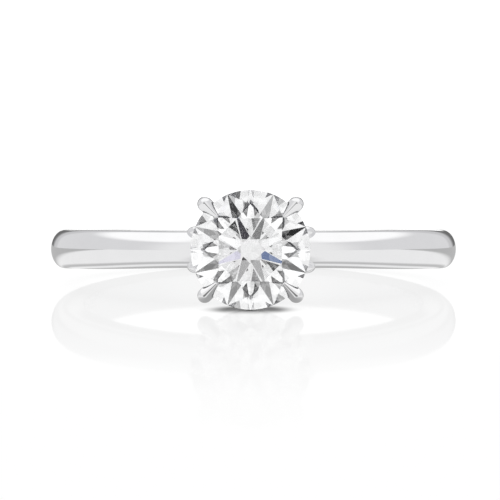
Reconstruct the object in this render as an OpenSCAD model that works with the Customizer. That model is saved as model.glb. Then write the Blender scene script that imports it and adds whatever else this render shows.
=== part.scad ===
// Four-claw solitaire ring with a round brilliant-cut stone.
// The finger bore runs along Z, the ring circle lies in the XY plane and the
// stone's table faces -Y. The origin is the centre of the finger bore.

/* [Ring size] */
// Inside diameter of the band, a US size 6
finger_d = 16.5; // [14:0.1:21]
// Wall of the band from the bore to the top of its crown
band_wall = 1.65; // [1.5:0.05:1.8]

/* [Band] */
// Width of the band opposite the head
band_w_back = 1.8; // [1.6:0.05:2]
// Width of the band at its shoulders, where it is widest
band_w_shoulder = 1.9; // [1.7:0.05:2.1]
// Width of the band where it runs under the stone
band_w_head = 1.78; // [1.6:0.02:1.8]
// Angle from the stone to the widest place of the band
shoulder_angle = 50; // [40:5:70]
// Height of the rounded crown of the band's section
crown_h = 0.68; // [0.5:0.02:0.8]
// Height of that crown beside the stone, where the section is rounder
crown_h_head = 0.85; // [0.7:0.05:0.95]
// Radius of the eased edges of the bore
edge_r = 0.15; // [0.05:0.05:0.25]

/* [Stone] */
// Diameter of the stone's girdle
stone_d = 5.7; // [5.6:0.05:5.9]
// Table width as a share of the girdle
table_share = 0.57; // [0.53:0.01:0.62]
// Slope of the eight kite facets of the crown
crown_angle = 34.5; // [33:0.25:36]
// Slope of the eight main facets of the pavilion
pavilion_angle = 40.75; // [40:0.25:41.5]
// Length of the star facets as a share of the crown's width
star_share = 0.5; // [0.45:0.05:0.6]
// Length of the lower halves as a share of the pavilion's radius
lower_half_share = 0.78; // [0.7:0.02:0.84]
// Thickness of the girdle as a share of its diameter
girdle_share = 0.03; // [0.02:0.005:0.04]
// Gap from the finger to the point of the stone
culet_gap = 1.1; // [1:0.05:1.3]

/* [Claws] */
// Radius of the claw wire at the girdle
claw_r = 0.36; // [0.32:0.01:0.4]
// Radius of the claw wire at its foot
claw_foot_r = 0.3; // [0.26:0.01:0.34]
// Half the width of the claw's filed point
claw_tip_r = 0.13; // [0.1:0.01:0.14]
// How far the middle of the wire stands outside the girdle
claw_stand_off = 0.19; // [0.15:0.01:0.24]
// Lean of the claws away from the stone's axis
claw_lean = 32; // [28:1:34]
// Height of a claw's rounded top above the girdle
claw_top_h = 0.72; // [0.68:0.01:0.76]
// Fall of the claw's ridge from that top to its point
claw_fall = 6; // [4:1:8]
// Distance from the stone's axis to the claw's point
claw_tip_reach = 2.18; // [2.14:0.02:2.26]

/* [Gallery] */
// Radius of the round wire of the gallery ring
gallery_wire_r = 0.26; // [0.22:0.01:0.3]
// Height of the gallery ring above the finger
gallery_h = 2.3; // [2.2:0.05:2.4]
// Radius of the two bridge rails
rail_r = 0.25; // [0.2:0.01:0.28]
// Height of the bridge rails above the finger
rail_h = 1.25; // [1.2:0.05:1.3]
// Distance from the middle of the band to the middle of a bridge rail
rail_side = 0.88; // [0.84:0.02:0.9]
// Half the length of a bridge rail
rail_reach = 2.8; // [2.7:0.05:2.9]
// Outside diameter of the base collet
collet_d = 3.3; // [3.2:0.1:3.4]
// Diameter of the open light well through the collet
collet_bore_d = 2; // [1.8:0.1:2.2]
// Height of the collet's top face above the finger
collet_h = 0.75; // [0.7:0.05:0.8]

/* [Hidden] */

// Steps round the band, round its crown and round an eased edge
band_steps = 60;
crown_steps = 20;
edge_steps = 3;
// The eased edges turn this far, so that they cross the bore at a clear angle
edge_turn = 60;
// Sides of a swept wire, and steps of its bends and straights
wire_sides = 16;
bend_steps = 10;
run_steps = 6;
nose_steps = 4;
round_fn = 96;
// A cutting body reaches this far past what it cuts
past = 0.3;

finger_r = finger_d / 2;
band_r = finger_r + band_wall;
stone_r = stone_d / 2;
table_r = stone_r * table_share;
// The facets meet just past the girdle and run on to a rim, and the girdle's cylinder then trims them
facet_overrun = 0.02;
rim_overrun = 0.07;
facet_r = stone_r + facet_overrun;
rim_r = stone_r + rim_overrun;

// Heights along the stone's axis, from the centre of the finger bore
culet_t = finger_r + culet_gap;
girdle_low_t = culet_t + facet_r * tan(pavilion_angle);
girdle_top_t = girdle_low_t + stone_d * girdle_share;
table_t = girdle_top_t + (facet_r - table_r) * tan(crown_angle);
collet_top_t = finger_r + collet_h;
rail_t = finger_r + rail_h;
gallery_t = finger_r + gallery_h;

// The gallery ring lies this far inside the middles of the claws
gallery_inset = 0.22;
// Each end of a rail bulges out over this drop and turns in to this distance from the band's middle,
// and the straight part starts this far from its reach
rail_bulge = 0.15;
rail_drop = 1.15;
rail_end_side = 0.45;
rail_lead = 0.7;

// The stone has eightfold facets, and the claws stand between its kites
facet_step = 45;
first_kite = 22.5;
half_step = facet_step / 2;

metal = [0.86, 0.86, 0.87];
crystal = [0.9, 0.94, 0.98, 0.5];

// ---- helpers ----

function unit(v) = v / norm(v);
function mix(a, b, s) = a + (b - a) * s;
// Smooth change from 0 at a to 1 at b
function ease(x, a, b) = (1 - cos(180 * min(1, max(0, (x - a) / (b - a))))) / 2;
function polar(radius, angle, height) = [radius * cos(angle), radius * sin(angle), height];
function bezier(p, u) = pow(1 - u, 3) * p[0] + 3 * u * pow(1 - u, 2) * p[1]
    + 3 * u * u * (1 - u) * p[2] + pow(u, 3) * p[3];

// Turns +Z to the stone's direction, -Y, and +Y to the finger's axis, +Z
module on_head() {
    rotate([90, 0, 0]) children();
}

// Triangles between ring a and ring b of m points each
function wall(a, b, m) = [for (k = [0 : m - 1], tri = [
    [a * m + k, b * m + k, a * m + (k + 1) % m],
    [a * m + (k + 1) % m, b * m + k, b * m + (k + 1) % m]]) tri];

// Closed body through rings of points, open-ended with caps or joined into a loop
module loft(rings, looped = false) {
    n = len(rings);
    m = len(rings[0]);
    walls = [for (i = [0 : n - 2]) each wall(i, i + 1, m)];
    ends = looped ? wall(n - 1, 0, m)
        : [[for (k = [0 : m - 1]) k], [for (k = [m - 1 : -1 : 0]) (n - 1) * m + k]];
    polyhedron(points = [for (ring = rings) each ring], faces = concat(walls, ends), convexity = 6);
}

// Round wire along a path of points, each with its own radius; flat is square to the bend's plane
module wire(path, radii, flat) {
    last = len(path) - 1;
    rings = [for (i = [0 : last])
        let (along = unit(path[min(i + 1, last)] - path[max(i - 1, 0)]),
            out = unit(cross(along, flat)),
            across = cross(along, out))
        [for (k = [0 : wire_sides - 1])
            let (a = 360 * k / wire_sides)
            path[i] + radii[i] * (cos(a) * out + sin(a) * across)]];
    loft(rings);
}

// ---- band ----

// Angles from the stone where the band's width and crown start and stop changing
head_angle = 12;
crown_angle_end = 70;
back_angle = 130;

// Width and crown height of the band's section at an angle from the stone
function band_w(a) = a < shoulder_angle
    ? mix(band_w_head, band_w_shoulder, ease(a, head_angle, shoulder_angle))
    : mix(band_w_shoulder, band_w_back, ease(a, shoulder_angle, back_angle));
function band_crown(a) = mix(crown_h_head, crown_h, ease(a, head_angle, crown_angle_end));

// Section as [radius, Z]: a half-ellipse crown, straight sides and eased bore edges
function band_section(w, crown) = concat(
    [for (i = [0 : crown_steps])
        let (a = -90 + 180 * i / crown_steps)
        [band_r - crown + crown * cos(a), w / 2 * sin(a)]],
    [for (i = [0 : edge_steps])
        let (a = edge_turn * i / edge_steps)
        [finger_r + edge_r * (1 - sin(a)), w / 2 - edge_r * (1 - cos(a))]],
    [[finger_r - past, w / 2 - edge_r], [finger_r - past, edge_r - w / 2]],
    [for (i = [edge_steps : -1 : 0])
        let (a = edge_turn * i / edge_steps)
        [finger_r + edge_r * (1 - sin(a)), edge_r * (1 - cos(a)) - w / 2]]);

module band_body() {
    loft([for (i = [0 : band_steps - 1])
        let (a = 360 * i / band_steps, from_stone = min(a, 360 - a))
        [for (p = band_section(band_w(from_stone), band_crown(from_stone)))
            [-p[0] * sin(a), -p[0] * cos(a), p[1]]]], looped = true);
}

module finger_bore() {
    cylinder(h = 4 * band_w_shoulder, r = finger_r, center = true, $fn = 2 * round_fn);
}

// Open under the stone, where its two ends fit the collet and take the bridge rails
module shank() {
    color(metal) difference() {
        band_body();
        finger_bore();
        on_head() cylinder(h = band_r + past, d = collet_d, $fn = round_fn);
        for (side = [-1, 1]) bridge_rail(side);
    }
}

// ---- stone ----

// Radii and heights where facets meet between two kites and between two mains
star_r = mix(table_r * cos(half_step), stone_r, star_share);
half_r = stone_r * (1 - lower_half_share);
star_t = girdle_top_t + (facet_r - star_r * cos(half_step)) * tan(crown_angle);
half_t = girdle_low_t - (facet_r - half_r * cos(half_step)) * tan(pavilion_angle);

function kite_angle(k) = first_kite + facet_step * k;
function ring_of(radius, shift, height) = [for (k = [0 : 7]) polar(radius, kite_angle(k) + shift, height)];
// Height, under the point at, of the plane through p, q and s
function plane_t(p, q, s, at) = let (n = cross(q - p, s - p))
    p[2] - (n[0] * (at[0] - p[0]) + n[1] * (at[1] - p[1])) / n[2];
// Height at the rim, in line with a kite, of the half facets that pass its tip
function rim_t(girdle_t, inner_r, inner_t) = plane_t(polar(facet_r, 0, girdle_t),
    polar(facet_r, half_step, girdle_t), polar(inner_r, half_step, inner_t), [rim_r, 0]);

// Where two half facets meet between the kites, carried on to the rim
rim_rise = (rim_r - facet_r) / (facet_r - star_r);
rim_fall = (rim_r - facet_r) / (facet_r - half_r);
stone_rings = [
    ring_of(table_r, 0, table_t),
    ring_of(star_r, half_step, star_t),
    ring_of(facet_r, 0, girdle_top_t),
    ring_of(rim_r, 0, rim_t(girdle_top_t, star_r, star_t)),
    ring_of(rim_r, half_step, mix(girdle_top_t, star_t, -rim_rise)),
    ring_of(rim_r, 0, rim_t(girdle_low_t, half_r, half_t)),
    ring_of(rim_r, half_step, mix(girdle_low_t, half_t, -rim_fall)),
    ring_of(facet_r, 0, girdle_low_t),
    ring_of(half_r, half_step, half_t),
    [[0, 0, culet_t]]];

// Table, stars, kites, upper halves, girdle, lower halves and pavilion mains
module facets() {
    function at(ring, k) = 8 * ring + (k + 8) % 8;
    eighths = [for (k = [0 : 7]) each [
        [at(0, k), at(0, k + 1), at(1, k)],
        [at(0, k), at(1, k), at(2, k), at(1, k - 1)],
        [at(1, k), at(4, k), at(3, k), at(2, k)],
        [at(1, k), at(2, k + 1), at(3, k + 1), at(4, k)],
        [at(4, k), at(6, k), at(5, k), at(3, k)],
        [at(3, k + 1), at(5, k + 1), at(6, k), at(4, k)],
        [at(6, k), at(8, k), at(7, k), at(5, k)],
        [at(5, k + 1), at(7, k + 1), at(8, k), at(6, k)],
        [at(8, k), at(9, 0), at(8, k - 1), at(7, k)]]];
    polyhedron(points = [for (ring = stone_rings) each ring],
        faces = concat([[for (k = [7 : -1 : 0]) at(0, k)]], eighths), convexity = 2);
}

module stone_body() {
    on_head() intersection() {
        facets();
        translate([0, 0, culet_t]) cylinder(h = table_t - culet_t, d = stone_d, $fn = 2 * round_fn);
    }
}

// Round body that the facets just touch, which cuts the seat in each claw
module stone_seat() {
    on_head() rotate_extrude($fn = 2 * round_fn) polygon([[0, culet_t], [half_r, half_t],
        [facet_r, girdle_low_t], [facet_r, girdle_top_t], [star_r, star_t], [table_r, table_t],
        [0, table_t]]);
}

module stone() {
    color(crystal) stone_body();
}

// ---- gallery ----

// Ring under the stone, seated on the finger side to the shape of the bore
module base_collet() {
    color(metal) difference() {
        on_head() translate([0, 0, finger_r - past]) difference() {
            cylinder(h = collet_h + past, d = collet_d, $fn = round_fn);
            translate([0, 0, -past]) cylinder(h = collet_h + 3 * past, d = collet_bore_d, $fn = round_fn);
        }
        finger_bore();
    }
}

// Round wire ring that ties the claws together under the girdle
module gallery_ring() {
    gallery_r = claw_axis_r(gallery_t) - gallery_inset;
    color(metal) on_head() translate([0, 0, gallery_t])
        rotate_extrude($fn = round_fn) translate([gallery_r, 0]) circle(r = gallery_wire_r, $fn = 32);
}

// Wire rail along one edge of the band under the stone, turned down into each shoulder
module bridge_rail(side) {
    curve = [[rail_reach, rail_end_side, rail_t - rail_drop],
        [rail_reach + rail_bulge, rail_side + rail_bulge / 2, rail_t - rail_drop / 2],
        [rail_reach, rail_side, rail_t],
        [rail_reach - rail_lead, rail_side, rail_t]];
    half = [for (i = [0 : bend_steps]) bezier(curve, i / bend_steps)];
    other = [for (i = [bend_steps : -1 : 0]) [-half[i][0], half[i][1], half[i][2]]];
    path = [for (p = concat(half, other)) [p[0], side * p[1], p[2]]];
    on_head() wire(path, [for (p = path) rail_r], [0, 1, 0]);
}

module bridge_rail_upper() {
    color(metal) bridge_rail(1);
}

module bridge_rail_lower() {
    color(metal) bridge_rail(-1);
}

// ---- claws ----

// Everything about a claw is in the plane of its wire, as [distance from the stone's axis, height].
// The sections of its top fan out from a pivot inside the girdle.
claw_pivot_r = 0.42;
claw_pivot_drop = 0.05;
claw_pivot = [stone_r + claw_stand_off - claw_pivot_r, girdle_low_t - claw_pivot_drop];
claw_out = [cos(claw_lean), -sin(claw_lean)];
claw_up = [sin(claw_lean), cos(claw_lean)];
claw_turn = claw_pivot + claw_pivot_r * claw_out;
function claw_axis_r(t) = claw_turn[0] - (claw_turn[1] - t) * tan(claw_lean);

// Half width at the start of the ridge, how much deeper than wide the top is, how far out its highest
// point stands from the pivot, and the pull of the shoulder's curve on the leg and on the ridge
claw_ridge_w = 0.97 * claw_r;
claw_depth = 1.3;
claw_top_reach = 0.5;
leg_pull = 0.5;
ridge_pull = 0.35;
// Radius of the nose, how far its sections narrow, and how fast they turn over as they do
nose_r = 0.1;
nose_narrowing = 75;
nose_turn = 1.2;
ridge_start = [claw_pivot[0] + claw_top_reach, girdle_top_t + claw_top_h];
ridge_len = (ridge_start[0] - claw_tip_reach - nose_r) / cos(claw_fall);
ridge_end = ridge_start - ridge_len * [cos(claw_fall), sin(claw_fall)];
nose = ridge_end - nose_r * [-sin(claw_fall), cos(claw_fall)];
shoulder = [claw_turn + claw_r * claw_out, claw_turn + claw_r * claw_out + leg_pull * claw_up,
    ridge_start + ridge_pull * [cos(claw_fall), sin(claw_fall)], ridge_start];

// A section is its inner point, its outer point and its half width
function leg_section(s) = let (
        t = mix(collet_top_t - past, claw_turn[1], s),
        r = mix(claw_foot_r, claw_r, s),
        middle = [claw_axis_r(t), t])
    [middle - r * claw_out, middle + r * claw_out, r];
function top_section(outer, w, depth) = [outer - 2 * depth * w * unit(outer - claw_pivot), outer, w];
function claw_sections() = concat(
    [for (i = [0 : run_steps - 1]) leg_section(i / run_steps)],
    [for (i = [0 : bend_steps])
        let (s = i / bend_steps)
        top_section(bezier(shoulder, s), mix(claw_r, claw_ridge_w, ease(s, 0.5, 1)), mix(1, claw_depth, s))],
    [for (i = [1 : run_steps])
        let (s = i / run_steps)
        top_section(mix(ridge_start, ridge_end, s), mix(claw_ridge_w, claw_tip_r, s), claw_depth)],
    [for (i = [1 : nose_steps])
        let (a = nose_narrowing * i / nose_steps, turn = 90 + claw_fall + nose_turn * a)
        top_section(nose + nose_r * [cos(turn), sin(turn)], claw_tip_r * cos(a), claw_depth)]);

// Points round a section of a claw that stands at an angle about the stone
function claw_ring(section, angle) = let (middle = (section[0] + section[1]) / 2,
        half = (section[1] - section[0]) / 2)
    [for (k = [wire_sides - 1 : -1 : 0])
        let (a = 360 * k / wire_sides, p = middle + half * cos(a))
        polar(p[0], angle, p[1]) + section[2] * sin(a) * polar(1, angle + 90, 0)];

// Claw at one corner of the stone, notched for the girdle and filed to the rails it crosses
module claw(angle) {
    color(metal) difference() {
        on_head() loft([for (section = claw_sections()) claw_ring(section, angle)]);
        stone_seat();
        gallery_ring();
        for (side = [-1, 1]) bridge_rail(side);
        on_head() cylinder(h = collet_top_t, r = stone_r, $fn = round_fn);
    }
}

module claw_upper_right() {
    claw(45);
}

module claw_upper_left() {
    claw(135);
}

module claw_lower_left() {
    claw(225);
}

module claw_lower_right() {
    claw(315);
}

shank();
base_collet();
gallery_ring();
bridge_rail_upper();
bridge_rail_lower();
claw_upper_right();
claw_upper_left();
claw_lower_left();
claw_lower_right();
stone();
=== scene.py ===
"""Looks of the solitaire ring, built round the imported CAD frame.

Lengths are drawn in millimetres and scaled to metres.
"""

import math

import bmesh
import bpy
import numpy as np
from mathutils import Matrix, Vector


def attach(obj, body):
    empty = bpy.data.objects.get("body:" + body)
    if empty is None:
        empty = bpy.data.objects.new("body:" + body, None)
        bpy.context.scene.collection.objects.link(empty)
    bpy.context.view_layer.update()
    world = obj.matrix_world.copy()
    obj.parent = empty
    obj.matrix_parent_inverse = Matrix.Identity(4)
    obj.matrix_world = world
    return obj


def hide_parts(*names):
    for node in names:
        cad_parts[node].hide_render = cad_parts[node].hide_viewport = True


MM = 0.001
BODY = "root"

# Ring, as in the CAD part
FINGER_R = 8.25
BAND_R = 9.9
BAND_W_BACK, BAND_W_SHOULDER, BAND_W_HEAD = 1.8, 1.9, 1.78
SHOULDER_ANGLE, BACK_ANGLE, HEAD_ANGLE, CROWN_ANGLE_END = 50, 130, 12, 70
CROWN_H, CROWN_H_HEAD = 0.68, 0.85
EDGE_R = 0.15

# Stone, as in the CAD part
STONE_R = 2.85
TABLE_R = STONE_R * 0.57
CROWN_ANGLE, PAVILION_ANGLE = math.radians(34.5), math.radians(40.75)
STAR_SHARE, LOWER_HALF_SHARE, GIRDLE_H = 0.5, 0.78, 0.171
DIAMOND_IOR = 2.417
FACET_OVERRUN = 0.02
FACET_R = STONE_R + FACET_OVERRUN
CULET_T = FINGER_R + 1.1
FIRST_KITE, FACET_STEP = math.radians(22.5), math.radians(45)

# Claws and gallery, as in the CAD part
CLAW_R, CLAW_FOOT_R, CLAW_TIP_R = 0.36, 0.3, 0.13
CLAW_RIDGE_W, CLAW_TOP_REACH = 0.97 * CLAW_R, 0.5
CLAW_STAND_OFF, CLAW_PIVOT_R, CLAW_LEAN = 0.19, 0.42, math.radians(32)
CLAW_PIVOT_DROP = 0.05
CLAW_TOP_H, CLAW_FALL, CLAW_TIP_REACH, CLAW_DEPTH = 0.72, math.radians(6), 2.18, 1.3
LEG_PULL, RIDGE_PULL = 0.5, 0.35
NOSE_R, NOSE_NARROWING, NOSE_TURN = 0.1, math.radians(75), 1.2
GALLERY_WIRE_R, GALLERY_INSET = 0.26, 0.22
GALLERY_T = FINGER_R + 2.3
RAIL_R, RAIL_T, RAIL_SIDE, RAIL_REACH = 0.25, FINGER_R + 1.25, 0.88, 2.8
RAIL_BULGE, RAIL_DROP, RAIL_END_SIDE, RAIL_LEAD = 0.15, 1.15, 0.45, 0.7
COLLET_R, COLLET_BORE_R, COLLET_TOP_T = 1.65, 1.0, FINGER_R + 0.75
CLAW_ANGLES = {
    "claw_upper_right": 45,
    "claw_upper_left": 135,
    "claw_lower_left": 225,
    "claw_lower_right": 315,
}

GIRDLE_LOW_T = CULET_T + FACET_R * math.tan(PAVILION_ANGLE)
GIRDLE_TOP_T = GIRDLE_LOW_T + GIRDLE_H
TABLE_T = GIRDLE_TOP_T + (FACET_R - TABLE_R) * math.tan(CROWN_ANGLE)

# From the stone's own axes, +Z through its table, to the frame, where the table faces -Y
TO_FRAME = Matrix.Rotation(math.radians(90), 4, "X")


# ---- small helpers ----


def mix(a, b, s):
    return a + (b - a) * s


def ease(x, a, b):
    """Smooth change from 0 at a to 1 at b."""
    return (1 - math.cos(math.pi * min(1, max(0, (x - a) / (b - a))))) / 2


def polar(radius, angle, height):
    return Vector((radius * math.cos(angle), radius * math.sin(angle), height))


def new_object(name, bm, smooth=True):
    """A mesh object in metres from a bmesh drawn in millimetres."""
    bmesh.ops.recalc_face_normals(bm, faces=bm.faces)
    bmesh.ops.scale(bm, vec=(MM, MM, MM), verts=bm.verts)
    mesh = bpy.data.meshes.new(name)
    bm.to_mesh(mesh)
    bm.free()
    mesh.polygons.foreach_set("use_smooth", [smooth] * len(mesh.polygons))
    piece = bpy.data.objects.new(name, mesh)
    bpy.context.scene.collection.objects.link(piece)
    return piece


def loft(rings, looped=False):
    """A closed bmesh through rings of points, with capped ends or joined into a loop."""
    bm = bmesh.new()
    rows = [[bm.verts.new(p) for p in ring] for ring in rings]
    pairs = list(zip(rows, rows[1:])) + ([(rows[-1], rows[0])] if looped else [])
    for near, far in pairs:
        for k in range(len(near)):
            j = (k + 1) % len(near)
            bm.faces.new((near[k], near[j], far[j], far[k]))
    if not looped:
        bm.faces.new(rows[0])
        bm.faces.new(reversed(rows[-1]))
    return bm


def wire(path, radii, flat, sides=48):
    """A round wire along a path; flat is square to the plane of its bends."""
    last = len(path) - 1
    rings = []
    for i, (centre, radius) in enumerate(zip(path, radii)):
        along = (path[min(i + 1, last)] - path[max(i - 1, 0)]).normalized()
        out = along.cross(flat).normalized()
        across = along.cross(out)
        turns = [2 * math.pi * k / sides for k in range(sides)]
        rings.append([centre + radius * (math.cos(a) * out + math.sin(a) * across) for a in turns])
    return loft(rings)


def lathe(outline, steps=192):
    """A body turned about Z from an outline of (radius, height), closed on itself away from the axis."""
    turns = [2 * math.pi * i / steps for i in range(steps)]
    return loft([[polar(r, a, t) for r, t in outline] for a in turns], looped=True)


def cut(piece, bm):
    """Takes the body bm away from the piece."""
    tool = new_object("tool", bm)
    step = piece.modifiers.new("cut", "BOOLEAN")
    step.operation, step.solver, step.object = "DIFFERENCE", "EXACT", tool
    depsgraph = bpy.context.evaluated_depsgraph_get()
    result = bpy.data.meshes.new_from_object(piece.evaluated_get(depsgraph))
    piece.modifiers.remove(step)
    piece.data = result
    bpy.data.objects.remove(tool)


def bezier(p, u):
    return (1 - u) ** 3 * p[0] + 3 * u * (1 - u) ** 2 * p[1] + 3 * u * u * (1 - u) * p[2] + u**3 * p[3]


# ---- band ----


def band_w(a):
    if a < SHOULDER_ANGLE:
        return mix(BAND_W_HEAD, BAND_W_SHOULDER, ease(a, HEAD_ANGLE, SHOULDER_ANGLE))
    return mix(BAND_W_SHOULDER, BAND_W_BACK, ease(a, SHOULDER_ANGLE, BACK_ANGLE))


def band_section(a, crown_steps=64, edge_steps=8):
    """The band's section at an angle from the stone, as (radius, Z): crown, eased edge, bore, eased edge."""
    half = band_w(a) / 2
    crown = mix(CROWN_H_HEAD, CROWN_H, ease(a, HEAD_ANGLE, CROWN_ANGLE_END))
    turns = [math.pi * (i / crown_steps - 0.5) for i in range(crown_steps + 1)]
    outer = [(BAND_R - crown + crown * math.cos(t), half * math.sin(t)) for t in turns]
    turns = [math.pi / 2 * i / edge_steps for i in range(edge_steps + 1)]
    edge = [(FINGER_R + EDGE_R * (1 - math.sin(t)), half - EDGE_R * (1 - math.cos(t))) for t in turns]
    land = [(FINGER_R, mix(half - EDGE_R, EDGE_R - half, i / 6)) for i in range(1, 6)]
    return outer + edge + land + [(r, -z) for r, z in reversed(edge)]


def make_shank(steps=480):
    """The band, whose two ends are shaped to the collet that they close on."""
    rings = []
    for i in range(steps + 1):
        share = i / steps
        ring = []
        from_stone = 360 * min(share, 1 - share)
        for r, z in band_section(from_stone):
            start = math.asin(math.sqrt(COLLET_R**2 - z * z) / r)
            a = mix(start, 2 * math.pi - start, share)
            ring.append(Vector((r * math.sin(a), -r * math.cos(a), z)))
        rings.append(ring)
    return new_object("shank_finish", loft(rings))


# ---- stone ----


def star_tip():
    """Distance from the axis, and height, of the points where the star facets end."""
    radius = mix(TABLE_R * math.cos(FACET_STEP / 2), STONE_R, STAR_SHARE)
    return radius, GIRDLE_TOP_T + (FACET_R - radius * math.cos(FACET_STEP / 2)) * math.tan(CROWN_ANGLE)


def lower_half_tip():
    """Distance from the axis, and height, of the points where the lower half facets end."""
    radius = STONE_R * (1 - LOWER_HALF_SHARE)
    return radius, GIRDLE_LOW_T - (FACET_R - radius * math.cos(FACET_STEP / 2)) * math.tan(PAVILION_ANGLE)


def facet_planes():
    """Every facet but the table as three points, an eighth of the crown and of the pavilion at a time."""
    half_step = FACET_STEP / 2
    star_r, star_t = star_tip()
    half_r, half_t = lower_half_tip()
    culet = Vector((0, 0, CULET_T))
    planes = []
    for k in range(8):
        a = FIRST_KITE + FACET_STEP * k
        sideways = polar(1, a + math.pi / 2, 0)
        kite_top, next_top = polar(TABLE_R, a, TABLE_T), polar(TABLE_R, a + FACET_STEP, TABLE_T)
        tip, mid = polar(FACET_R, a, GIRDLE_TOP_T), polar(FACET_R, a + half_step, GIRDLE_TOP_T)
        next_tip = polar(FACET_R, a + FACET_STEP, GIRDLE_TOP_T)
        star = polar(star_r, a + half_step, star_t)
        planes += [(tip, kite_top, tip + sideways), (kite_top, next_top, star)]
        planes += [(tip, mid, star), (next_tip, mid, star)]
        drop = Vector((0, 0, GIRDLE_LOW_T - GIRDLE_TOP_T))
        tip, mid, next_tip = tip + drop, mid + drop, next_tip + drop
        low = polar(half_r, a + half_step, half_t)
        planes += [(tip, culet, tip + sideways), (tip, mid, low), (next_tip, mid, low)]
    return planes


def make_stone(girdle_steps=192):
    """A round brilliant: a round blank with its facets cut one by one."""
    bm = bmesh.new()
    bmesh.ops.create_cone(
        bm, cap_ends=True, segments=girdle_steps, radius1=STONE_R, radius2=STONE_R, depth=TABLE_T - CULET_T,
        matrix=Matrix.Translation((0, 0, (TABLE_T + CULET_T) / 2)))
    centre = Vector((0, 0, GIRDLE_TOP_T))
    for p, q, s in facet_planes():
        normal = (q - p).cross(s - p).normalized()
        if normal.dot(p - centre) < 0:
            normal.negate()
        everything = bm.verts[:] + bm.edges[:] + bm.faces[:]
        made = bmesh.ops.bisect_plane(
            bm, geom=everything, dist=1e-5, plane_co=p, plane_no=normal, clear_outer=True)
        rim = [e for e in made["geom_cut"] if isinstance(e, bmesh.types.BMEdge)]
        bmesh.ops.contextual_create(bm, geom=rim)
    bmesh.ops.remove_doubles(bm, verts=bm.verts, dist=1e-4)
    bm.transform(TO_FRAME)
    return new_object("stone_finish", bm, smooth=False)


def seat_tool(gap=0.004):
    """A round body a hair larger than the stone, which cuts the notch in each claw."""
    star_r, star_t = star_tip()
    half_r, half_t = lower_half_tip()
    below = [(half_r, half_t - gap), (STONE_R + gap, GIRDLE_LOW_T - gap)]
    above = [(STONE_R + gap, GIRDLE_TOP_T + gap), (star_r, star_t + gap), (TABLE_R, TABLE_T + gap)]
    outline = below + above + [(half_r, TABLE_T + gap)]
    bm = lathe(outline)
    bm.transform(TO_FRAME)
    return bm


# ---- gallery and claws ----

# A claw lies in one upright plane through the stone's axis, as (distance from the axis, height)
CLAW_PIVOT = Vector((STONE_R + CLAW_STAND_OFF - CLAW_PIVOT_R, GIRDLE_LOW_T - CLAW_PIVOT_DROP))
CLAW_OUT = Vector((math.cos(CLAW_LEAN), -math.sin(CLAW_LEAN)))
CLAW_UP = Vector((math.sin(CLAW_LEAN), math.cos(CLAW_LEAN)))
CLAW_TURN = CLAW_PIVOT + CLAW_PIVOT_R * CLAW_OUT


def claw_axis_r(t):
    """Distance of a claw's leg from the stone's axis at a height."""
    return CLAW_TURN[0] - (CLAW_TURN[1] - t) * math.tan(CLAW_LEAN)


def claw_sections(leg_steps=24, shoulder_steps=40, ridge_steps=30, nose_steps=14):
    """Sections of a claw as (inner point, outer point, half width).

    The leg's sections are square to it, and those of its top fan out from the pivot.
    """
    sections = []

    def top(outer, width, depth):
        sections.append((outer - 2 * depth * width * (outer - CLAW_PIVOT).normalized(), outer, width))

    foot_t = COLLET_TOP_T - 0.02
    for i in range(leg_steps):
        t = mix(foot_t, CLAW_TURN[1], i / leg_steps)
        radius = mix(CLAW_FOOT_R, CLAW_R, i / leg_steps)
        middle = Vector((claw_axis_r(t), t))
        sections.append((middle - radius * CLAW_OUT, middle + radius * CLAW_OUT, radius))
    down_ridge = Vector((math.cos(CLAW_FALL), math.sin(CLAW_FALL)))
    leg_end = CLAW_TURN + CLAW_R * CLAW_OUT
    ridge_start = Vector((CLAW_PIVOT[0] + CLAW_TOP_REACH, GIRDLE_TOP_T + CLAW_TOP_H))
    shoulder = [leg_end, leg_end + LEG_PULL * CLAW_UP, ridge_start + RIDGE_PULL * down_ridge, ridge_start]
    for i in range(shoulder_steps + 1):
        s = i / shoulder_steps
        top(bezier(shoulder, s), mix(CLAW_R, CLAW_RIDGE_W, ease(s, 0.5, 1)), mix(1, CLAW_DEPTH, s))
    ridge_length = (ridge_start[0] - CLAW_TIP_REACH - NOSE_R) / math.cos(CLAW_FALL)
    ridge_end = ridge_start - ridge_length * down_ridge
    for i in range(1, ridge_steps + 1):
        s = i / ridge_steps
        top(ridge_start.lerp(ridge_end, s), mix(CLAW_RIDGE_W, CLAW_TIP_R, s), CLAW_DEPTH)
    nose = ridge_end - NOSE_R * Vector((-math.sin(CLAW_FALL), math.cos(CLAW_FALL)))
    for i in range(1, nose_steps + 1):
        a = NOSE_NARROWING * i / nose_steps
        turn = math.pi / 2 + CLAW_FALL + NOSE_TURN * a
        top(nose + NOSE_R * Vector((math.cos(turn), math.sin(turn))), CLAW_TIP_R * math.cos(a), CLAW_DEPTH)
    return sections


def make_claw(node, degrees, sides=64):
    """A claw's wire with its filed top, notched for the stone's girdle."""
    angle = math.radians(degrees)
    sideways = polar(1, angle + math.pi / 2, 0)
    rings = []
    for inner, outer, width in claw_sections():
        ring = []
        for k in range(sides):
            a = 2 * math.pi * k / sides
            r, t = (inner + outer) / 2 + (outer - inner) / 2 * math.cos(a)
            ring.append(polar(r, angle, t) + width * math.sin(a) * sideways)
        rings.append(ring)
    bm = loft(rings)
    bm.transform(TO_FRAME)
    claw = new_object(node + "_finish", bm)
    cut(claw, seat_tool())
    return claw


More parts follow.
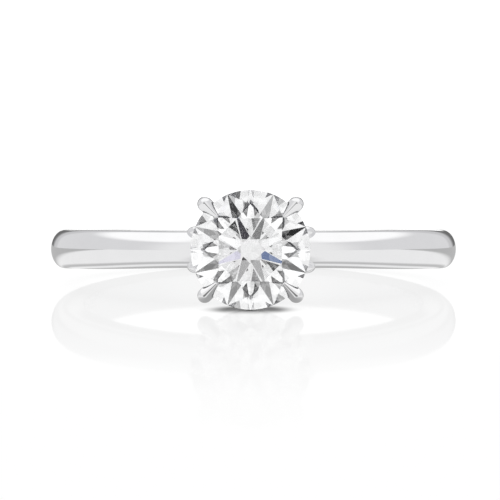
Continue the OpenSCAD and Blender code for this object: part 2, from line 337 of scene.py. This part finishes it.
def make_rail(node, side, bend_steps=48):
    curve = [Vector((RAIL_REACH, RAIL_END_SIDE, RAIL_T - RAIL_DROP)),
             Vector((RAIL_REACH + RAIL_BULGE, RAIL_SIDE + RAIL_BULGE / 2, RAIL_T - RAIL_DROP / 2)),
             Vector((RAIL_REACH, RAIL_SIDE, RAIL_T)),
             Vector((RAIL_REACH - RAIL_LEAD, RAIL_SIDE, RAIL_T))]
    half = [bezier(curve, i / bend_steps) for i in range(bend_steps + 1)]
    path = half + [Vector((-p[0], p[1], p[2])) for p in reversed(half)]
    path = [Vector((p[0], side * p[1], p[2])) for p in path]
    bm = wire(path, [RAIL_R] * len(path), Vector((0, 1, 0)))
    bm.transform(TO_FRAME)
    return new_object(node + "_finish", bm)


def make_gallery_ring(sides=48):
    radius = claw_axis_r(GALLERY_T) - GALLERY_INSET
    turns = [2 * math.pi * k / sides for k in range(sides)]
    outline = [(math.cos(a), math.sin(a)) for a in turns]
    bm = lathe([(radius + GALLERY_WIRE_R * c, GALLERY_T + GALLERY_WIRE_R * d) for c, d in outline])
    bm.transform(TO_FRAME)
    return new_object("gallery_ring_finish", bm)


def make_collet(edge=0.08, edge_steps=6, below_bore=0.3):
    """The base ring, with eased edges; its foot runs below the bore and is then shaped to it."""
    turns = [math.pi / 2 * i / edge_steps for i in range(edge_steps + 1)]
    eased = [(edge * (1 - math.cos(a)), edge * (1 - math.sin(a))) for a in turns]
    outer = [(COLLET_R - aside, COLLET_TOP_T - down) for aside, down in eased]
    inner = [(COLLET_BORE_R + aside, COLLET_TOP_T - down) for aside, down in eased]
    foot = FINGER_R - below_bore
    bm = lathe([(COLLET_R, foot)] + outer + inner[::-1] + [(COLLET_BORE_R, foot)])
    bm.transform(TO_FRAME)
    collet = new_object("base_collet_finish", bm)
    finger = bmesh.new()
    bmesh.ops.create_cone(finger, cap_ends=True, segments=720, radius1=FINGER_R, radius2=FINGER_R, depth=6)
    cut(collet, finger)
    return collet


# ---- materials ----


def new_material(name):
    material = bpy.data.materials.new(name)
    material.use_nodes = True
    nodes = material.node_tree.nodes
    return material, nodes, material.node_tree.links, nodes["Principled BSDF"]


def noise(nodes, links, scale, detail, stretch=(1, 1, 1)):
    """Noise in the object's own metres; scale is in features per metre."""
    place = nodes.new("ShaderNodeTexCoord")
    shape = nodes.new("ShaderNodeMapping")
    shape.inputs["Scale"].default_value = stretch
    texture = nodes.new("ShaderNodeTexNoise")
    texture.inputs["Scale"].default_value = scale
    texture.inputs["Detail"].default_value = detail
    links.new(place.outputs["Object"], shape.inputs["Vector"])
    links.new(shape.outputs["Vector"], texture.inputs["Vector"])
    return texture.outputs["Fac"]


def ranged(nodes, links, value, low, high):
    """Turns a 0 to 1 value into one from low to high."""
    ramp = nodes.new("ShaderNodeMapRange")
    ramp.inputs["To Min"].default_value = low
    ramp.inputs["To Max"].default_value = high
    links.new(value, ramp.inputs["Value"])
    return ramp.outputs["Result"]


def smooth(nodes, links, value, start, end, low, high):
    """Eases from low, where the value is at its start, to high at its end."""
    ramp = nodes.new("ShaderNodeMapRange")
    ramp.interpolation_type = "SMOOTHSTEP"
    for socket, number in (("From Min", start), ("From Max", end), ("To Min", low), ("To Max", high)):
        ramp.inputs[socket].default_value = number
    links.new(value, ramp.inputs["Value"])
    return ramp.outputs["Result"]


def mix_colors(nodes, links, share, under, over):
    """Mixes two colours, each a plain colour or a socket, by the share of the second."""
    node = nodes.new("ShaderNodeMix")
    node.data_type = "RGBA"
    links.new(share, node.inputs["Factor"])
    for name, color in (("A", under), ("B", over)):
        if isinstance(color, tuple):
            node.inputs[name].default_value = (*color, 1)
        else:
            links.new(color, node.inputs[name])
    return node.outputs["Result"]


def platinum():
    """Buffed white metal: a mirror with a faint haze that comes and goes, and hair-fine polishing marks."""
    material, nodes, links, shader = new_material("polished_platinum")
    shader.inputs["Metallic"].default_value = 1
    cloud = noise(nodes, links, 900, 3)
    tint = mix_colors(nodes, links, cloud, (0.86, 0.86, 0.87), (0.91, 0.91, 0.915))
    links.new(tint, shader.inputs["Base Color"])
    links.new(ranged(nodes, links, noise(nodes, links, 2600, 5), 0.03, 0.1), shader.inputs["Roughness"])
    bump = nodes.new("ShaderNodeBump")
    bump.inputs["Strength"].default_value = 0.02
    bump.inputs["Distance"].default_value = 0.00001
    links.new(noise(nodes, links, 16000, 2, (1, 1, 6)), bump.inputs["Height"])
    links.new(bump.outputs["Normal"], shader.inputs["Normal"])
    return material


def diamond():
    """Clear facets with the faintest change of tone from place to place."""
    material, nodes, links, shader = new_material("diamond")
    shader.inputs["Transmission Weight"].default_value = 1
    shader.inputs["IOR"].default_value = DIAMOND_IOR
    shader.inputs["Roughness"].default_value = 0
    tint = mix_colors(nodes, links, noise(nodes, links, 500, 2), (0.985, 0.99, 1.0), (1.0, 1.0, 1.0))
    links.new(tint, shader.inputs["Base Color"])
    return material


# ---- the set ----

# The ring lies on its side: the girdle and the back of the band touch the floor
CAMERA_DISTANCE = 450
CAMERA_AZIMUTH, CAMERA_ELEVATION = math.radians(0.7), math.radians(0.2)
AIM = Vector((-0.17, 0, -0.05))
LENS_MM, SENSOR_MM = 662, 36

# What the metal sees: walls, a bright roof, and round patches, each laid over those before it, as (azimuth,
# elevation, radius, softness, colour) in degrees. Azimuth 0 is straight behind the ring, 180 is the camera.
WALL, ROOF = (0.75, 0.75, 0.76), (1.1, 1.1, 1.1)
ROOF_START, ROOF_END = 34, 46
METAL_PATCHES = [
    (180, 4, 40, 30, (0.9, 0.9, 0.9)),
    (0, 20, 20, 9, (0.6, 0.6, 0.61)),
    (0, 3, 26, 6, (0.6, 0.6, 0.61)),
    # Gives the two ends of the band their dark rims
    (0, 4, 14, 10, (0.16, 0.16, 0.16)),
    # Lights the sheet, which mirrors it
    (0, 11, 4, 2, (1.8, 1.8, 1.8)),
    # The shade of the camera itself
    (180, 0, 14, 12, (0.2, 0.2, 0.2)),
]
BACKDROP = (1.2, 1.2, 1.2)

# The white sheet in millimetres, its glow in the open, and the shares that it scatters and mirrors
SHEET_HALF, SHEET_BACK = 1500, 30
SHEET_GLOW, SHEET_MATT, SHEET_MIRROR, SHEET_ROUGHNESS = 0.74, 0.12, 0.1, 0.045
# Painted contact shadow, which darkens the sheet's glow: how far off a thing still casts it, the distances
# from the point under the stone between which it fades, and how open a place is where the glow is quite out
SHADE_REACH, SHADE_NEAR, SHADE_FAR, SHADE_OUT = 2.2, 0.2, 2.8, 0.28
# Depths in front of the ring between which the mirror image fades into plain white
FADE_END, FADE_START, FADE_MOST = -55, -15, 0.9

# What the metal sees of the sheet: its tone in the open, then the painted shade behind the ring and the
# painted shadow under the stone, with the distances between which they change
OPEN_SHEET = 0.91
PAINTED_SHADE_BEHIND_RING, BEHIND_START, BEHIND_END = 0.5, 1, 6
PAINTED_SHADOW_UNDER_STONE, UNDER_NEAR, UNDER_FAR = 0.4, 2, 5.5
# And the painted shade on the sheet under the band, as (distance from the finger's axis, grey): painted shade
# inside the ring, then a pale line, a painted grey shade line and the open sheet
PAINTED_SHADE_UNDER_RING = [(8.3, 0.5), (8.8, OPEN_SHEET), (9.2, OPEN_SHEET)]
PAINTED_SHADE_UNDER_RING += [(9.6, 0.55), (9.9, 0.55), (10.4, OPEN_SHEET)]
UNDER_RING_REACH = 12

# What the stone sees: dim sides, and cards. Each kind of card is (angle off the line of sight, radius,
# softness) in degrees, but the angles of the arrows are worked out. The greys run round the stone from its
# first kite, or from the first gap between kites; the cards for the facets between arrows come two to a kite.
SIDES = (0.05, 0.05, 0.055)
BACK_CARD, FRONT_CARD, LENS_CARD = (180, 28, 10), (0, 52, 8), (0, 7.5, 1)
BACK_TONE, FRONT_TONE, LENS_TONE = 1.2, 1.17, 0.02
GAP_CARD, RIM_CARD, TABLE_CARD = (23, 3.5, 2), (32, 4.6, 1), (17.5, 2.2, 1)
GAP_TONES = [0.85, 0.3, 0.9, 0.9, 0.5, 0.9, 0.85, 0.85]
RIM_TONES = [0.02, 0.3, 0.08, 0.02, 0.1, 0.5, 0.4, 0.05]
TABLE_TONES = [0.9, 0.1, 0.9, 0.5, 0.2, 0.9, 0.9, 0.05, 0.9, 0.6, 0.9, 0.3, 0.6, 0.9, 0.9, 0.4]
SHAFT_SIZE, HEAD_SIZE = (2.6, 1), (1.6, 0.3)
SHAFT_TONES = [1.3, 0.3, 0.07, 1.4, 1.0, 0.6, 0.6, 0.3]
HEAD_TONES = [0.02, 0.6, 0.05, 0.5, 0.08, 0.25, 0.3, 0.04]
# A diamond splits light, so a few of its shafts are tinted
WHITE, LAVENDER, BLUE = (1, 1, 1), (0.95, 0.93, 1.08), (0.75, 1, 1.7)
SHAFT_TINTS = {2: LAVENDER, 4: LAVENDER, 7: BLUE}


def arrow_tilts():
    """How far off the line of sight the shaft and the head of each arrow look, from the angles of the cut.

    Two pavilion facets turn a ray back on itself but for a small lean. A shaft looks in through the table and
    out through the kite across the stone; a head looks in through its kite and out through the table.
    """
    lean = math.pi - 4 * PAVILION_ANGLE
    shaft = math.asin(DIAMOND_IOR * math.sin(CROWN_ANGLE - lean)) - CROWN_ANGLE
    entry = CROWN_ANGLE - math.asin(math.sin(CROWN_ANGLE) / DIAMOND_IOR)
    head = math.asin(DIAMOND_IOR * math.sin(entry - lean))
    return math.degrees(shaft), math.degrees(head)


def card_ring(card, start, tones, tints=None):
    """Cards at even steps round the stone, as (clock angle, angle off sight, radius, softness, colour)."""
    step = 360 / len(tones)
    tints = tints or {}
    colors = [tuple(tone * c for c in tints.get(k, WHITE)) for k, tone in enumerate(tones)]
    return [(start + step * k, *card, color) for k, color in enumerate(colors)]


def stone_patches():
    """Every card that the stone sees, each laid over those before it. Clock angles run from +X towards +Z."""
    shaft_tilt, head_tilt = arrow_tilts()
    kite = math.degrees(FIRST_KITE)
    patches = card_ring(BACK_CARD, 0, [BACK_TONE]) + card_ring(FRONT_CARD, 0, [FRONT_TONE])
    patches += card_ring(GAP_CARD, 2 * kite, GAP_TONES)
    patches += card_ring(RIM_CARD, kite, RIM_TONES)
    patches += card_ring(TABLE_CARD, kite / 2, TABLE_TONES)
    patches += card_ring((shaft_tilt, *SHAFT_SIZE), kite, SHAFT_TONES, SHAFT_TINTS)
    patches += card_ring(LENS_CARD, 0, [LENS_TONE])
    patches += card_ring((head_tilt, *HEAD_SIZE), kite, HEAD_TONES)
    return patches


def floor_slope():
    """Rise of the floor per millimetre of depth, from the girdle's rear edge to the back of the band."""
    contact_y, contact_z = -GIRDLE_LOW_T, -STONE_R
    back = [(z - contact_z) / (r - contact_y) for r, z in band_section(180) if z < 0]
    return min(back)


def make_floor():
    """A white sheet, tilted as the ring lies, that ends a little way behind the ring."""
    slope = floor_slope()
    bm = bmesh.new()
    corners = []
    front_corners = (-SHEET_HALF, -SHEET_HALF), (SHEET_HALF, -SHEET_HALF)
    for x, y in (*front_corners, (SHEET_HALF, SHEET_BACK), (-SHEET_HALF, SHEET_BACK)):
        corners.append(bm.verts.new((x, y, -STONE_R + slope * (y + GIRDLE_LOW_T))))
    bm.faces.new(corners)
    floor = new_object("floor", bm, smooth=False)
    floor.data.materials.append(white_sheet())


def from_point(nodes, links, place, point):
    """Distance of a place from a point."""
    node = nodes.new("ShaderNodeVectorMath")
    node.operation = "DISTANCE"
    links.new(place, node.inputs[0])
    node.inputs[1].default_value = point
    return node.outputs["Value"]


def joined(nodes, links, kind, *sources):
    """The output of a new node of a kind, fed by the sources in order."""
    node = nodes.new(kind)
    for source, socket in zip(sources, node.inputs):
        links.new(source, socket)
    return node.outputs[0]


def compared(nodes, links, operation, first, second):
    """The MINIMUM or the MAXIMUM of two values."""
    result = joined(nodes, links, "ShaderNodeMath", first, second)
    result.node.operation = operation
    return result


def glowing(nodes, links, strength):
    node = nodes.new("ShaderNodeEmission")
    links.new(strength, node.inputs["Strength"])
    return node.outputs[0]


def grey(tone):
    return (tone, tone, tone, 1)


def sheet_for_camera(nodes, links, depth, from_contact, openness):
    """Glowing white with a faint mirror image and a painted contact shadow in the glow under the stone only,
    and plain white far in front.
    """
    # Painted contact shadow: the glow fades out near the stone where the sheet is closed in
    away = smooth(nodes, links, from_contact, SHADE_NEAR * MM, SHADE_FAR * MM, 0, 1)
    lit = compared(nodes, links, "MAXIMUM", openness, away)
    glow = glowing(nodes, links, smooth(nodes, links, lit, SHADE_OUT, 1, 0, SHEET_GLOW))
    matt = nodes.new("ShaderNodeBsdfDiffuse")
    matt.inputs["Color"].default_value = grey(SHEET_MATT)
    mirror = nodes.new("ShaderNodeBsdfGlossy")
    mirror.inputs["Roughness"].default_value = SHEET_ROUGHNESS
    mirror.inputs["Color"].default_value = grey(SHEET_MIRROR)
    sheet = joined(nodes, links, "ShaderNodeAddShader", glow, matt.outputs[0])
    sheet = joined(nodes, links, "ShaderNodeAddShader", sheet, mirror.outputs[0])
    faded = smooth(nodes, links, depth, FADE_END * MM, FADE_START * MM, FADE_MOST, 0)
    plain = nodes.new("ShaderNodeEmission").outputs[0]
    return joined(nodes, links, "ShaderNodeMixShader", faded, sheet, plain)


def sheet_for_metal(nodes, links, ground, depth, from_contact):
    """The sheet as the metal mirrors it: a glow with painted shade behind the ring and under the band, and a
    painted shadow under the stone.
    """
    share = nodes.new("ShaderNodeMath")
    share.operation = "DIVIDE"
    links.new(from_point(nodes, links, ground, (0, 0, 0)), share.inputs[0])
    share.inputs[1].default_value = UNDER_RING_REACH * MM
    # Painted shade on the sheet under the band, by distance from the finger's axis
    painted_shade_ramp = nodes.new("ShaderNodeValToRGB")
    ramp = painted_shade_ramp.color_ramp
    ramp.elements[0].position, ramp.elements[1].position = 0, 1
    ramp.elements[0].color = grey(PAINTED_SHADE_UNDER_RING[0][1])
    ramp.elements[1].color = grey(OPEN_SHEET)
    for radius, tone in PAINTED_SHADE_UNDER_RING:
        ramp.elements.new(radius / UNDER_RING_REACH).color = grey(tone)
    links.new(share.outputs[0], painted_shade_ramp.inputs["Fac"])
    # Painted shade behind the ring and painted shadow under the stone
    behind = smooth(nodes, links, depth, BEHIND_START * MM, BEHIND_END * MM, OPEN_SHEET, PAINTED_SHADE_BEHIND_RING)
    below = smooth(nodes, links, from_contact, UNDER_NEAR * MM, UNDER_FAR * MM, PAINTED_SHADOW_UNDER_STONE, OPEN_SHEET)
    shaded = compared(nodes, links, "MINIMUM", painted_shade_ramp.outputs["Color"], behind)
    return glowing(nodes, links, compared(nodes, links, "MINIMUM", shaded, below))


def white_sheet():
    """The sheet's material: camera and metal each see it in their own way, and the stone not at all."""
    material = bpy.data.materials.new("white_sheet")
    material.use_nodes = True
    nodes, links = material.node_tree.nodes, material.node_tree.links
    nodes.clear()
    place = nodes.new("ShaderNodeSeparateXYZ")
    links.new(nodes.new("ShaderNodeTexCoord").outputs["Object"], place.inputs[0])
    depth = place.outputs["Y"]
    ground = joined(nodes, links, "ShaderNodeCombineXYZ", place.outputs["X"], depth)
    from_contact = from_point(nodes, links, ground, (0, -GIRDLE_LOW_T * MM, 0))
    contact = nodes.new("ShaderNodeAmbientOcclusion")
    contact.inputs["Distance"].default_value = SHADE_REACH * MM
    contact.samples = 16
    seen = sheet_for_camera(nodes, links, depth, from_contact, contact.outputs["AO"])
    mirrored = sheet_for_metal(nodes, links, ground, depth, from_contact)
    path = nodes.new("ShaderNodeLightPath")
    clear = nodes.new("ShaderNodeBsdfTransparent").outputs[0]
    look = joined(nodes, links, "ShaderNodeMixShader", path.outputs["Is Glossy Ray"], seen, mirrored)
    look = joined(nodes, links, "ShaderNodeMixShader", path.outputs["Is Transmission Ray"], look, clear)
    out = nodes.new("ShaderNodeOutputMaterial")
    links.new(look, out.inputs["Surface"])
    return material


def direction(azimuth, elevation):
    """A direction in the frame. Azimuth 0 is straight behind the ring, +Y, and 90 is to the right, +X."""
    a, e = math.radians(azimuth), math.radians(elevation)
    return Vector((math.sin(a) * math.cos(e), math.cos(a) * math.cos(e), math.sin(e)))


def in_sight(clock, tilt):
    """A direction tilted off the camera's line of sight, towards a clock angle.

    The camera's own turn is under a degree, so its angles are simply added.
    """
    c = math.radians(clock)
    off_axis = Vector((math.cos(c), 0, math.sin(c))) * math.sin(math.radians(tilt))
    return (off_axis + Vector((CAMERA_AZIMUTH, -math.cos(math.radians(tilt)), CAMERA_ELEVATION))).normalized()


def patch(nodes, links, toward, under, middle, radius, soft, color):
    """Lays a round soft-edged patch of colour over what is under it."""
    dot = nodes.new("ShaderNodeVectorMath")
    dot.operation = "DOT_PRODUCT"
    links.new(toward, dot.inputs[0])
    dot.inputs[1].default_value = middle
    outer, inner = math.cos(math.radians(radius + soft)), math.cos(math.radians(radius))
    inside = smooth(nodes, links, dot.outputs["Value"], outer, inner, 0, 1)
    return mix_colors(nodes, links, inside, under, color)


def make_world():
    """A white tent with dark patches, which the metal and the stone each see in their own way."""
    world = bpy.data.worlds.new("studio")
    bpy.context.scene.world = world
    world.use_nodes = True
    nodes, links = world.node_tree.nodes, world.node_tree.links
    nodes.clear()
    toward = nodes.new("ShaderNodeTexCoord").outputs["Generated"]

    height = nodes.new("ShaderNodeSeparateXYZ")
    links.new(toward, height.inputs[0])
    start, end = math.sin(math.radians(ROOF_START)), math.sin(math.radians(ROOF_END))
    rise = smooth(nodes, links, height.outputs["Z"], start, end, 0, 1)
    metal_sky = mix_colors(nodes, links, rise, WALL, ROOF)
    for azimuth, elevation, radius, soft, color in METAL_PATCHES:
        metal_sky = patch(nodes, links, toward, metal_sky, direction(azimuth, elevation), radius, soft, color)

    stone_sky = SIDES
    for clock, tilt, radius, soft, color in stone_patches():
        stone_sky = patch(nodes, links, toward, stone_sky, in_sight(clock, tilt), radius, soft, color)

    # Only the stone sends on transmission rays and, as it alone is perfectly sharp, singular ones
    path = nodes.new("ShaderNodeLightPath")
    through, sharp = path.outputs["Is Transmission Ray"], path.outputs["Is Singular Ray"]
    by_stone = compared(nodes, links, "MAXIMUM", through, sharp)
    sky = mix_colors(nodes, links, by_stone, metal_sky, stone_sky)
    sky = mix_colors(nodes, links, path.outputs["Is Camera Ray"], sky, BACKDROP)
    light = nodes.new("ShaderNodeBackground")
    out = nodes.new("ShaderNodeOutputWorld")
    links.new(sky, light.inputs["Color"])
    links.new(light.outputs[0], out.inputs["Surface"])


def make_camera():
    back = Vector((math.sin(CAMERA_AZIMUTH) * math.cos(CAMERA_ELEVATION),
                   -math.cos(CAMERA_AZIMUTH) * math.cos(CAMERA_ELEVATION), math.sin(CAMERA_ELEVATION)))
    data = bpy.data.cameras.new("camera")
    data.lens, data.sensor_width = LENS_MM, SENSOR_MM
    data.clip_start, data.clip_end = 0.01, 5
    camera = bpy.data.objects.new("camera", data)
    bpy.context.scene.collection.objects.link(camera)
    camera.location = (AIM + back * CAMERA_DISTANCE) * MM
    camera.rotation_mode = "QUATERNION"
    camera.rotation_quaternion = (-back).to_track_quat("-Z", "Y")
    bpy.context.scene.camera = camera


def set_render_look():
    scene = bpy.context.scene
    scene.view_settings.view_transform = "Standard"
    scene.view_settings.look = "None"
    scene.cycles.max_bounces = 32
    scene.cycles.transmission_bounces = 32
    scene.cycles.glossy_bounces = 12
    scene.cycles.caustics_reflective = True
    scene.cycles.caustics_refractive = True
    scene.cycles.sample_clamp_indirect = 10
    scene.cycles.use_denoising = True


def add_piece(piece, node, material):
    """Puts the finished piece in the place of its CAD node."""
    piece.data.materials.clear()
    piece.data.materials.append(material)
    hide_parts(node)
    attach(piece, BODY)


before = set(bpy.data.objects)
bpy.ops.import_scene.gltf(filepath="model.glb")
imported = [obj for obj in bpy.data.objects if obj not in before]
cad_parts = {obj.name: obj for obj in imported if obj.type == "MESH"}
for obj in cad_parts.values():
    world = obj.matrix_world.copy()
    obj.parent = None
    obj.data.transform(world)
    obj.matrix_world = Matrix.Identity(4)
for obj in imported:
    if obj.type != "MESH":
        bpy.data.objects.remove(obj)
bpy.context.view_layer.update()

metal, crystal = platinum(), diamond()
add_piece(make_shank(), "shank", metal)
add_piece(make_collet(), "base_collet", metal)
add_piece(make_gallery_ring(), "gallery_ring", metal)
add_piece(make_rail("bridge_rail_upper", 1), "bridge_rail_upper", metal)
add_piece(make_rail("bridge_rail_lower", -1), "bridge_rail_lower", metal)
for claw_node, claw_angle in CLAW_ANGLES.items():
    add_piece(make_claw(claw_node, claw_angle), claw_node, metal)
add_piece(make_stone(), "stone", crystal)

make_camera()
make_floor()
make_world()
set_render_look()
